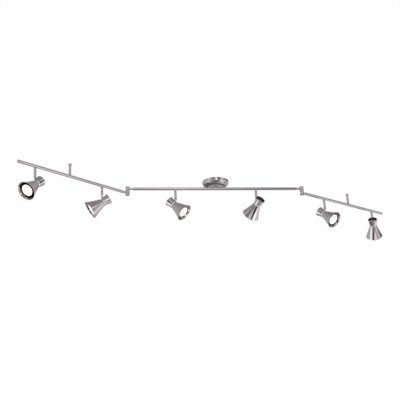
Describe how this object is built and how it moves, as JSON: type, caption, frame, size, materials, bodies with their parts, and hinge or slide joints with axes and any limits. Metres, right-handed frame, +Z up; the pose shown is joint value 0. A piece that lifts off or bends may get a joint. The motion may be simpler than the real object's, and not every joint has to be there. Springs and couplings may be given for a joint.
{
  "type": "track lighting fixture",
  "caption": "Ceiling light: adjustable bell-shaped spot heads on a straight centre bar and level-swinging end arms, under a round canopy.",
  "frame": {"origin": "centre of the canopy on the ceiling plane; the light hangs below it", "axes": "+Z up, out of the canopy's back into the ceiling; +X along the fixed centre bar; +Y towards the side where the right arm is swung"},
  "size_m": [1.7329, 0.6993, 0.2047],
  "materials": {
    "satin_nickel": "satin",
    "bright_nickel": "polished",
    "zinc": "satin",
    "ceramic": "matte",
    "lamp": "gloss, lit"
  },
  "bodies": {
    "canopy_and_bar": {"canopy": "satin_nickel", "mounting_strap": "zinc", "threaded_nipple": "zinc", "nipple_nut": "zinc", "bar_saddle": "satin_nickel", "centre_bar": "satin_nickel", "left_upper_barrel": "satin_nickel", "right_upper_barrel": "satin_nickel"},
    "left_arm": {"left_lower_barrel": "satin_nickel", "left_arm_tube": "satin_nickel", "left_end_plug": "satin_nickel", "left_post_rod": "satin_nickel", "left_post_foot": "satin_nickel"},
    "right_arm": {"right_lower_barrel": "satin_nickel", "right_arm_tube": "satin_nickel", "right_end_plug": "satin_nickel", "right_post_rod": "satin_nickel", "right_post_foot": "satin_nickel"},
    "left_outer_stem": {"left_outer_stem": "satin_nickel"},
    "left_outer_head": {"left_outer_tilt_screw": "zinc", "left_outer_rear_cap": "satin_nickel", "left_outer_neck_ring": "bright_nickel", "left_outer_shade": "satin_nickel", "left_outer_lamp_socket": "ceramic", "left_outer_lamp": "lamp"},
    "left_inner_stem": {"left_inner_stem": "satin_nickel"},
    "left_inner_head": {"left_inner_tilt_screw": "zinc", "left_inner_rear_cap": "satin_nickel", "left_inner_neck_ring": "bright_nickel", "left_inner_shade": "satin_nickel", "left_inner_lamp_socket": "ceramic", "left_inner_lamp": "lamp"},
    "centre_left_stem": {"centre_left_stem": "satin_nickel"},
    "centre_left_head": {"centre_left_tilt_screw": "zinc", "centre_left_rear_cap": "satin_nickel", "centre_left_neck_ring": "bright_nickel", "centre_left_shade": "satin_nickel", "centre_left_lamp_socket": "ceramic", "centre_left_lamp": "lamp"},
    "centre_right_stem": {"centre_right_stem": "satin_nickel"},
    "centre_right_head": {"centre_right_tilt_screw": "zinc", "centre_right_rear_cap": "satin_nickel", "centre_right_neck_ring": "bright_nickel", "centre_right_shade": "satin_nickel", "centre_right_lamp_socket": "ceramic", "centre_right_lamp": "lamp"},
    "right_inner_stem": {"right_inner_stem": "satin_nickel"},
    "right_inner_head": {"right_inner_tilt_screw": "zinc", "right_inner_rear_cap": "satin_nickel", "right_inner_neck_ring": "bright_nickel", "right_inner_shade": "satin_nickel", "right_inner_lamp_socket": "ceramic", "right_inner_lamp": "lamp"},
    "right_outer_stem": {"right_outer_stem": "satin_nickel"},
    "right_outer_head": {"right_outer_tilt_screw": "zinc", "right_outer_rear_cap": "satin_nickel", "right_outer_neck_ring": "bright_nickel", "right_outer_shade": "satin_nickel", "right_outer_lamp_socket": "ceramic", "right_outer_lamp": "lamp"}
  },
  "joints": [
    {"name": "left_arm_swing", "type": "hinge", "parent": "canopy_and_bar", "child": "left_arm", "pos_m": [-0.4, 0, -0.0554], "axis": [0, 0, 1], "range_deg": [-129.6, 50.4]},
    {"name": "right_arm_swing", "type": "hinge", "parent": "canopy_and_bar", "child": "right_arm", "pos_m": [0.4, 0, -0.0554], "axis": [0, 0, 1], "range_deg": [-121.6, 58.4]},
    {"name": "left_outer_turn", "type": "hinge", "parent": "left_arm", "child": "left_outer_stem", "pos_m": [-0.77678, -0.3117, -0.0554], "axis": [0, 0, 1], "range_deg": [-175, 175]},
    {"name": "left_outer_tilt", "type": "hinge", "parent": "left_outer_stem", "child": "left_outer_head", "pos_m": [-0.77678, -0.3117, -0.1074], "axis": [0.7314, -0.682, 0], "range_deg": [-56, 29]},
    {"name": "left_inner_turn", "type": "hinge", "parent": "left_arm", "child": "left_inner_stem", "pos_m": [-0.5125, -0.09306, -0.0554], "axis": [0, 0, 1], "range_deg": [-175, 175]},
    {"name": "left_inner_tilt", "type": "hinge", "parent": "left_inner_stem", "child": "left_inner_head", "pos_m": [-0.5125, -0.09306, -0.1074], "axis": [0.0436, -0.999, 0], "range_deg": [-48.5, 36.5]},
    {"name": "centre_left_turn", "type": "hinge", "parent": "canopy_and_bar", "child": "centre_left_stem", "pos_m": [-0.185, 0, -0.035], "axis": [0, 0, 1], "range_deg": [-175, 175]},
    {"name": "centre_left_tilt", "type": "hinge", "parent": "centre_left_stem", "child": "centre_left_head", "pos_m": [-0.185, 0, -0.087], "axis": [0.4067, 0.9135, 0], "range_deg": [-58, 27]},
    {"name": "centre_right_turn", "type": "hinge", "parent": "canopy_and_bar", "child": "centre_right_stem", "pos_m": [0.185, 0, -0.035], "axis": [0, 0, 1], "range_deg": [-175, 175]},
    {"name": "centre_right_tilt", "type": "hinge", "parent": "centre_right_stem", "child": "centre_right_head", "pos_m": [0.185, 0, -0.087], "axis": [-0.9026, -0.4305, 0], "range_deg": [-46, 39]},
    {"name": "right_inner_turn", "type": "hinge", "parent": "right_arm", "child": "right_inner_stem", "pos_m": [0.52435, 0.0765, -0.0554], "axis": [0, 0, 1], "range_deg": [-175, 175]},
    {"name": "right_inner_tilt", "type": "hinge", "parent": "right_inner_stem", "child": "right_inner_head", "pos_m": [0.52435, 0.0765, -0.1074], "axis": [0.7314, 0.682, 0], "range_deg": [-54.5, 30.5]},
    {"name": "right_outer_turn", "type": "hinge", "parent": "right_arm", "child": "right_outer_stem", "pos_m": [0.81649, 0.25623, -0.0554], "axis": [0, 0, 1], "range_deg": [-175, 175]},
    {"name": "right_outer_tilt", "type": "hinge", "parent": "right_outer_stem", "child": "right_outer_head", "pos_m": [0.81649, 0.25623, -0.1074], "axis": [-0.9455, 0.3256, 0], "range_deg": [-56, 29]}
  ]
}
